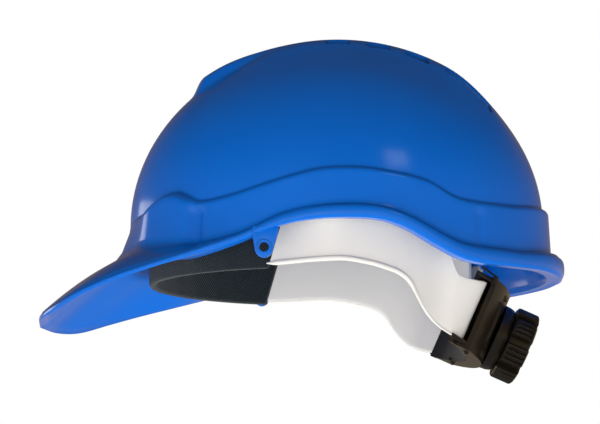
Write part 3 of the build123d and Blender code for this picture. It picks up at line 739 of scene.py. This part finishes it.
def band_half(side):
    """One half of the strip with its thickness and rounded edges."""
    def place(u, v):
        low, high = band_edge(u, False), band_edge(u, True)
        return mirrored(low.lerp(high, v), side)
    bm = pulled_grid(150, 14, place)
    bmesh.ops.recalc_face_normals(bm, faces=bm.faces)
    if sum(f.normal.x * f.calc_center_median().x for f in bm.faces) < 0:
        bmesh.ops.reverse_faces(bm, faces=bm.faces)
    bmesh.ops.solidify(bm, geom=bm.faces[:], thickness=BAND_THICK)
    return rounded(bm, BAND_SOFT, angle=60)


def band_bead(side, radius=1.35):
    """Round bead along the lower edge."""
    def place(u, v):
        u = BEAD_START + (1 - BEAD_START) * u
        here, ahead = band_edge(u, False), band_edge(min(u + 0.004, 1.0), False)
        behind = band_edge(max(u - 0.004, 0.0), False)
        run = (ahead - behind).normalized()
        across = run.cross(Vector((0, 0, 1))).normalized()
        rise = across.cross(run)
        swell = 0.4 + 0.6 * smooth(BEAD_START, BEAD_START + BEAD_TAPER, u)
        fade = swell * (1 - 0.6 * smooth(BEAD_THIN_FROM, BEAD_THIN_TO, u))
        a = 2 * pi * v
        point = here + (across * cos(a) + rise * sin(a)) * radius * fade
        return mirrored(point, side)
    bm = pulled_grid(180, 12, place)
    bmesh.ops.remove_doubles(bm, verts=bm.verts, dist=1e-3)
    bmesh.ops.holes_fill(bm, edges=[e for e in bm.edges if e.is_boundary], sides=0)
    bmesh.ops.recalc_face_normals(bm, faces=bm.faces)
    return bm


band = finish_piece("headband_strip", merged([band_half(1), band_half(-1), band_bead(1),
                                              band_bead(-1)]), band_plastic)
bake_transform(band)
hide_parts("headband", "left_arm", "right_arm")

# %% [markdown]
# Behind each ear a short tab rises from the strip and carries it on the shell. It is a second,
# thinner grid on the same oval, tucked just inside the strip where the two overlap.

# %% Hanger tabs, above the notch behind the ear
TAB_START, TAB_RUN, TAB_TOP, TAB_TUCK, TAB_EASE, TAB_THIN = 52, 17, 20, -2.8, 2.4, 0.3
TAB_LOW = [(50, -6), (57.6, -6), (58.6, -3.4), (61, -1.6), (64, -1.0), (70, -1.0)]


def hanger_tab(side):
    def place(u, v):
        y = TAB_START + u * TAB_RUN
        turn = 180 - acos((y - BAND_MIDDLE) / BAND_LENGTH) * 180 / pi
        low = along(TAB_LOW, y)
        tuck = TAB_TUCK + TAB_EASE * smooth(58, 65, y)
        point = oval_point(turn, low + (TAB_TOP - low) * v, tuck)
        return mirrored(point, side)
    bm = pulled_grid(60, 10, place)
    bmesh.ops.recalc_face_normals(bm, faces=bm.faces)
    if sum(f.normal.x * f.calc_center_median().x for f in bm.faces) < 0:
        bmesh.ops.reverse_faces(bm, faces=bm.faces)
    bmesh.ops.solidify(bm, geom=bm.faces[:], thickness=BAND_THICK - TAB_THIN)
    return rounded(bm, 0.4, angle=60)


for hand, side in (("left", 1), ("right", -1)):
    tab = finish_piece(f"{hand}_band_tab", hanger_tab(side), band_plastic, "helmet")
    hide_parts(f"{hand}_hanger_tab")


# %% [markdown]
# ## Sweatband
# A sleeve of black knitted terry is slipped over the brow strip and folded down both its faces.
# It is soft but held tight, so it is shaped directly: a closed tube of a flattened section,
# pulled along the brow and swollen a little between its edges. The knit has ribs that run
# slantwise at about one and a half millimetres; they follow the cloth, so they use its own map.

# %% Black rib knit
knit, tree, shader, place = new_material("black rib knit")
RIB = 1.35
uv = add_node(tree, "ShaderNodeUVMap", {"uv_map": "cloth"}).outputs[0]
slant = add_node(tree, "ShaderNodeMapping", Vector=uv, Rotation=(0, 0, radians(38)))
wave = add_node(tree, "ShaderNodeTexWave", {"bands_direction": "X"}, Vector=slant.outputs[0],
                Scale=0.314 / (RIB * MM), Distortion=0.4, Detail=1.0, Detail_Scale=2.0)
fluff = add_node(tree, "ShaderNodeTexNoise", Vector=place, Scale=1 / (0.5 * MM), Detail=3.0)
rib_mix = add_node(tree, "ShaderNodeMath", {"operation": "MULTIPLY"}, i0=wave.outputs["Fac"],
                   i1=fluff.outputs["Fac"])
tone = add_node(tree, "ShaderNodeMixRGB", Fac=rib_mix.outputs[0], Color1=linear("020406"),
                Color2=linear("36474e"))
tree.links.new(tone.outputs[0], shader.inputs["Base Color"])
shader.inputs["Roughness"].default_value = 0.95
shader.inputs["Specular IOR Level"].default_value = 0.2
shader.inputs["Sheen Weight"].default_value = 0.15
height = add_node(tree, "ShaderNodeMath", {"operation": "ADD"}, i0=wave.outputs["Fac"],
                  i1=fluff.outputs["Fac"])
bump = add_node(tree, "ShaderNodeBump", Height=height.outputs[0], Strength=0.7, Distance=0.5 * MM)
tree.links.new(bump.outputs[0], shader.inputs["Normal"])

# %% Sleeve over the brow
SLEEVE_LOW, SLEEVE_HIGH, SLEEVE_END, SLEEVE_SLANT = -9.0, 27.0, 75.5, 6.5
SLEEVE_OUT, SLEEVE_IN, SLEEVE_SEAT, SLEEVE_FLATNESS, EDGE_FLATNESS = 1.5, 2.6, 0.9, 2.4, 1.04
DIMPLE, CROWNING, PUFF_SHARE = 0.25, 0.35, 0.6


def sleeve_point(u, v):
    """u runs from end to end round the brow, v round the flattened section."""
    a = 2 * pi * v
    low_share = (1 - sin(a)) / 2
    end = SLEEVE_END - SLEEVE_SLANT * low_share
    turn = (2 * u - 1) * end
    face = max(min(cos(a) * SLEEVE_FLATNESS, 1.0), -1.0)
    level = max(-1.0, min(1.0, sin(a) * EDGE_FLATNESS))
    z = (SLEEVE_LOW + SLEEVE_HIGH) / 2 + (SLEEVE_HIGH - SLEEVE_LOW) / 2 * level
    puff = PUFF_SHARE * (DIMPLE * sin(u * 61) * sin(3 * a + u * 23) + CROWNING * cos(a) ** 2)
    ends = min(1.0, (1 - abs(2 * u - 1)) * 40 + 0.35)
    offset = face * (SLEEVE_OUT if face > 0 else SLEEVE_IN) + (puff if face > 0 else -puff)
    return oval_point(turn, z, (offset - SLEEVE_SEAT) * ends)


sleeve = pulled_grid(320, 72, sleeve_point, 250.0, 76.0)
bmesh.ops.remove_doubles(sleeve, verts=sleeve.verts, dist=1e-4)
bmesh.ops.holes_fill(sleeve, edges=[e for e in sleeve.edges if e.is_boundary], sides=0)
bmesh.ops.recalc_face_normals(sleeve, faces=sleeve.faces)
sleeve_piece = finish_piece("sweatband_sleeve", sleeve, knit, "helmet")
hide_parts("sweatband")


# %% [markdown]
# ## Crown straps
# Three polyester webbing straps cross under the crown and carry the shell's weight and any blow.
# Webbing is thin, flat and thick-edged, and a cloth simulation would only blur it, so each strap
# is a flat section pulled along an arch between two keys, with its weave and edge cords in
# the finish. The straps lie one above another where they cross.

# %% Woven webbing
webbing, tree, shader, place = new_material("woven white webbing")
THREAD = 1.0
uv = add_node(tree, "ShaderNodeUVMap", {"uv_map": "cloth"}).outputs[0]
weft = add_node(tree, "ShaderNodeTexWave", {"bands_direction": "X"}, Vector=uv,
                Scale=0.314 / (THREAD * MM), Distortion=0.2)
warp = add_node(tree, "ShaderNodeTexWave", {"bands_direction": "Y"}, Vector=uv,
                Scale=0.314 / (THREAD * 1.4 * MM), Distortion=0.2)
weave = add_node(tree, "ShaderNodeMath", {"operation": "MULTIPLY"}, i0=weft.outputs["Fac"],
                 i1=warp.outputs["Fac"])
tone = add_node(tree, "ShaderNodeMixRGB", Fac=weave.outputs[0], Color1=linear("b9b8b2"),
                Color2=linear("ecebe6"))
tree.links.new(tone.outputs[0], shader.inputs["Base Color"])
shader.inputs["Roughness"].default_value = 0.8
shader.inputs["Sheen Weight"].default_value = 0.2
bump = add_node(tree, "ShaderNodeBump", Height=weave.outputs[0], Strength=0.6, Distance=0.3 * MM)
tree.links.new(bump.outputs[0], shader.inputs["Normal"])

# %% Three arches
STRAP_WIDTH, STRAP_THICK, STRAP_FOOT, STRAP_CORD, CORD_THIN = 20.0, 1.3, 22.0, 2.0, 0.86
STRAP_ENDS = [("front_left_key", "rear_right_key"), ("front_right_key", "rear_left_key"),
              ("side_left_key", "side_right_key")]
for layer, (first, second) in enumerate(STRAP_ENDS):
    low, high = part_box(f"crown_strap_{layer + 1}")
    low, high = low / MM, high / MM
    first_at, second_at = centre_of(first), centre_of(second)
    run = Vector((second_at.x - first_at.x, second_at.y - first_at.y, 0)).normalized()
    across = Vector((-run.y, run.x, 0))
    middle = (low + high) / 2
    reach_x = (high.x - low.x - abs(across.x) * STRAP_WIDTH) / 2
    reach_y = (high.y - low.y - abs(across.y) * STRAP_WIDTH) / 2
    half = sqrt(reach_x ** 2 + reach_y ** 2) - STRAP_THICK / 2
    rise = high.z - STRAP_FOOT - STRAP_THICK / 2

    def strap_point(u, v):
        a = pi * (1 - u)
        s = 2 * pi * v
        wide = max(-1.0, min(1.0, cos(s) * 1.25)) * STRAP_WIDTH / 2
        thick = sin(s) * STRAP_THICK / 2
        if abs(thick) > STRAP_THICK * 0.3:
            waist = CORD_THIN if abs(wide) < STRAP_WIDTH / 2 - STRAP_CORD else 1.0
            thick = STRAP_THICK * (0.5 if thick > 0 else -0.5) * waist
        out = Vector((cos(a) / half, 0, sin(a) / rise)).normalized()
        level = (half * cos(a) + out.x * thick)
        return Vector((middle.x + run.x * level + across.x * wide,
                       middle.y + run.y * level + across.y * wide,
                       STRAP_FOOT + rise * sin(a) + out.z * thick))

    strap = pulled_grid(120, 32, strap_point, 290.0, 40.0)
    bmesh.ops.remove_doubles(strap, verts=strap.verts, dist=1e-4)
    bmesh.ops.holes_fill(strap, edges=[e for e in strap.edges if e.is_boundary], sides=0)
    bmesh.ops.recalc_face_normals(strap, faces=strap.faces)
    piece = finish_piece(f"webbing_strap_{layer + 1}", strap, webbing, "helmet")
    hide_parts(f"crown_strap_{layer + 1}")

# %% Keys in white nylon
for key in KEYS:
    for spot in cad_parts[key].material_slots:
        spot.material = key_plastic
print(len(KEYS), "keys take the white nylon")


# %% [markdown]
# ## Ratchet unit
# The ratchet is a pair of black covers curved to the nape, which snap together over the two
# racks, and a knob that turns the pinion between them. The covers' fit is fixed by the CAD, so
# they stay as they are and get a finish; what the eye reads as detail is added on them: the
# guide prongs over the mouth, the finger below it, a raised arc on each flank, the snap hooks.

# %% Black nylon with a fine moulded grain
black_nylon, tree, shader, place = new_material("moulded black nylon")
grain = add_node(tree, "ShaderNodeTexNoise", Vector=place, Scale=1 / (1.1 * MM), Detail=3.0)
patch = add_node(tree, "ShaderNodeTexNoise", Vector=place, Scale=1 / (14 * MM), Detail=2.0)
tone = add_node(tree, "ShaderNodeMixRGB", Fac=patch.outputs["Fac"], Color1=linear("0d0b07"),
                Color2=linear("1f1910"))
tree.links.new(tone.outputs[0], shader.inputs["Base Color"])
shader.inputs["Specular IOR Level"].default_value = 0.5
rough = add_node(tree, "ShaderNodeMapRange", Value=grain.outputs["Fac"], i3=0.22, i4=0.38)
tree.links.new(rough.outputs[0], shader.inputs["Roughness"])
bump = add_node(tree, "ShaderNodeBump", Height=grain.outputs["Fac"], Strength=0.15,
                Distance=0.15 * MM)
tree.links.new(bump.outputs[0], shader.inputs["Normal"])

# %% [markdown]
# The screw and the hidden mechanism keep the shapes that the CAD gave them. Zinc plating is a
# bright, faintly mottled metal; acetal is a waxy grey plastic, so it shares the recipe of the
# other milky plastics.

# %% Zinc-plated steel
zinc, tree, shader, place = new_material("zinc plated steel")
brush = add_node(tree, "ShaderNodeTexNoise", Vector=place, Scale=1 / (0.4 * MM), Detail=2.0)
tone = add_node(tree, "ShaderNodeMixRGB", Fac=brush.outputs["Fac"], Color1=linear("a8a9a6"),
                Color2=linear("c9cac8"))
tree.links.new(tone.outputs[0], shader.inputs["Base Color"])
shader.inputs["Metallic"].default_value = 1.0
shader.inputs["Roughness"].default_value = 0.32

# %% Grey acetal for the hidden mechanism
grey_acetal = polyethylene("moulded grey acetal", "8f9294", "7b7e80", 0.3)
NODE_FINISH = {"outer_cover": black_nylon, "inner_cover": black_nylon, "left_rack": band_plastic,
               "right_rack": band_plastic, "pinion": grey_acetal, "pawl_disc": grey_acetal,
               "ratchet_screw": zinc}
for node_name, finish in NODE_FINISH.items():
    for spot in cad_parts[node_name].material_slots:
        spot.material = finish
print(len(NODE_FINISH), "ratchet nodes have their finish")

# %% [markdown]
# The ratchet leans back by 24 degrees, so its details are placed by its own directions: sideways,
# rearward along the knob's axis, and upward across it. Prongs and a finger guide the strip
# into the mouth, snap hooks hold the covers together, and a thin arc stands on each flank.

# %% The ratchet's own directions, from its turning axis
RATCHET = Vector((0, 86.2, -35.6))
TILT = radians(24.0)
REARWARD = Vector((0, cos(TILT), -sin(TILT)))
UPWARD = Vector((0, sin(TILT), cos(TILT)))
ARC_BACK, COVER_RADIUS = 73.0, 73.2


def on_ratchet(x, rear, up):
    """Point in the helmet's frame from the ratchet's own sideways, rearward and upward distances."""
    return RATCHET + Vector((x, 0, 0)) + REARWARD * rear + UPWARD * up


def to_ratchet(bm):
    """Moves a form that was made at the origin, rearward along Y and upward along Z, on to the ratchet."""
    bmesh.ops.rotate(bm, cent=(0, 0, 0), matrix=Matrix.Rotation(-TILT, 3, "X"), verts=bm.verts)
    bmesh.ops.translate(bm, vec=RATCHET, verts=bm.verts)
    return bm


def arc_rear(x, radius=COVER_RADIUS):
    """How far rearward an arc about the ratchet's upright axis lies at a sideways distance."""
    return sqrt(radius ** 2 - x ** 2) - ARC_BACK


print("the knob's axis passes through", tuple(RATCHET))


# %% Trim on the covers: prongs, fingers, raised arcs and snap hooks
ARC_SPAN, ARC_UP, ARC_TALL, ARC_SIDE, ARC_BOW, ARC_PROUD = 62, 2.0, 14.0, 33.0, 7.5, 1.1
TRIM_SOFT = 0.5
HOOK_SIDE, HOOK_REAR = 24.0, 0.1
# On each side: size, then place sideways, rearward and upward, then turn in degrees.
TRIM = [((1.2, 14.0, 1.0), (46.6, -18.9, 23.6), 44),
        ((1.2, 13.0, 1.0), (47.0, -19.4, 19.8), 44),
        ((1.8, 3.0, 5.5), (41.6, -14.0, 21.2), 44),
        ((1.8, 13.0, 2.2), (45.6, -19.9, -15.6), 44),
        ((6.0, 2.4, 3.6), (30.0, -12.4, -17.8), 0),
        ((5.0, 1.2, 3.2), (HOOK_SIDE, arc_rear(HOOK_SIDE) + HOOK_REAR, 18.0), -33),
        ((5.0, 1.2, 3.2), (HOOK_SIDE, arc_rear(HOOK_SIDE) + HOOK_REAR, -14.6), -33)]


def raised_arc(side):
    """A thin half-round ridge that bows rearward on the cover's flank."""
    def place(u, v):
        a = radians(ARC_SPAN * (2 * u - 1))
        b = 2 * pi * v
        taper = sin(pi * min(max(u, 0.02), 0.98)) ** 0.5
        x = ARC_SIDE - ARC_BOW * cos(a) + ARC_PROUD * taper * cos(b)
        rear = arc_rear(x, COVER_RADIUS + ARC_PROUD * sin(b))
        return on_ratchet(side * x, rear, ARC_UP + ARC_TALL * sin(a))
    bm = pulled_grid(48, 10, place)
    bmesh.ops.remove_doubles(bm, verts=bm.verts, dist=1e-4)
    bmesh.ops.holes_fill(bm, edges=[e for e in bm.edges if e.is_boundary], sides=0)
    bmesh.ops.recalc_face_normals(bm, faces=bm.faces)
    return bm


trim = []
for side in (1, -1):
    trim.append(raised_arc(side))
    for size, (x, rear, up), turn in TRIM:
        form = block(size, (side * x, rear, up), side * radians(turn))
        trim.append(to_ratchet(rounded(form, TRIM_SOFT)))
finish_piece("cover_trim", merged(trim), black_nylon, "ratchet", 40)



# %% Drum collar round the knob's foot
collar = bmesh.new()
section = [(15.4, 0.2), (18.6, 0.2), (18.4, 3.2), (17.8, 5.4), (17.0, 6.2), (15.4, 6.2)]
points = [collar.verts.new((r, y, 0)) for r, y in section]
line = [collar.edges.new(pair) for pair in zip(points, points[1:] + points[:1])]
bmesh.ops.spin(collar, geom=points + line, axis=(0, 1, 0), cent=(0, 0, 0), angle=2 * pi, steps=96,
               use_merge=True)
bmesh.ops.recalc_face_normals(collar, faces=collar.faces)
finish_piece("drum_collar", to_ratchet(collar), black_nylon, "ratchet", 40)

# %% [markdown]
# ## Knob
# The knob has eight thick lobes with three grooves cut in each, so that a gloved hand can turn
# it, and a slightly domed face. It is a disc whose outline is pulled in and out round the
# circle, so spinning a section and then pulling each angle to its own radius gives it lobes,
# valleys and grooves in one form.

# %% Lobed knob
KNOB_FRONT, KNOB_REAR, KNOB_RADIUS, KNOB_VALLEY, LOBES = 6.8, 19.8, 20.5, 16.2, 8
LOBE_HALF, LOBE_END, GROOVES, GROOVE_HALF, GROOVE_DEPTH = 5.1, 6.1, (-2.9, 0.0, 2.9), 0.65, 1.3
GROOVE_FOOT, GROOVE_TOP, KNOB_STEPS = -11.0, -1.2, 480
# Radius and height above the sunk face, from the middle outward.
FACE_SINK = 1.0
FACE = [(0.0, 0.9), (3.0, 0.95), (3.2, 1.15), (6.0, 1.0), (12.2, 0.5), (12.8, 0.15), (14.2, 0.1)]
# Share of the outline's radius and depth below the rear face, over the grip and back to the axis.
GRIP = [(0.88, 0.0), (0.95, -0.45), (0.985, -0.9), (1.0, -1.7), (1.0, -4.0), (1.0, -6.0), (1.0, -8.0),
        (1.0, -10.0), (1.0, -11.6), (0.985, -12.4), (0.95, -12.9), (0.7, -13.0), (0.0, -13.0)]


def knob_radius(angle):
    """Radius of the grip at an angle, and how much of a groove is there, 0 to 1."""
    sector_angle = 2 * pi / LOBES
    off = ((angle % sector_angle) - sector_angle / 2) * KNOB_RADIUS
    lobe = 1 - smooth(LOBE_HALF, LOBE_END, abs(off))
    groove = sum(exp(-((off - place) / GROOVE_HALF) ** 4) for place in GROOVES)
    return KNOB_VALLEY + (KNOB_RADIUS - KNOB_VALLEY) * lobe, groove * lobe


def knob_ring(angle):
    """Points of the knob's section at one angle, from its rear face to its foot."""
    radius, groove = knob_radius(angle)
    points = [(r, KNOB_REAR - FACE_SINK + rise) for r, rise in FACE]
    for share, depth in GRIP:
        cut = GROOVE_DEPTH * groove if GROOVE_FOOT < depth < GROOVE_TOP else 0.0
        points.append((radius * share - cut, KNOB_REAR + depth))
    return [Vector((r * sin(angle), -r * cos(angle), z)) for r, z in points]


knob = spun_rings(knob_ring, len(FACE) + len(GRIP), KNOB_STEPS)
bmesh.ops.rotate(knob, cent=(0, 0, 0), matrix=Matrix.Rotation(-pi / 2, 3, "X"), verts=knob.verts)
bmesh.ops.recalc_face_normals(knob, faces=knob.faces)
knob_piece = finish_piece("ratchet_knob", to_ratchet(knob), black_nylon, "knob", 32)
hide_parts("knob")

# %% Spindle, from the knob's foot into the covers
SPINDLE_RADIUS, SPINDLE_LONG, SPINDLE_BACK = 4.0, 9.0, 4.0
spindle = bmesh.new()
bmesh.ops.create_cone(spindle, cap_ends=True, segments=48, radius1=SPINDLE_RADIUS,
                      radius2=SPINDLE_RADIUS, depth=SPINDLE_LONG)
bmesh.ops.rotate(spindle, cent=(0, 0, 0), matrix=Matrix.Rotation(-pi / 2, 3, "X"), verts=spindle.verts)
bmesh.ops.translate(spindle, vec=(0, KNOB_FRONT - SPINDLE_BACK, 0), verts=spindle.verts)
finish_piece("knob_spindle", to_ratchet(spindle), black_nylon, "knob", 32)
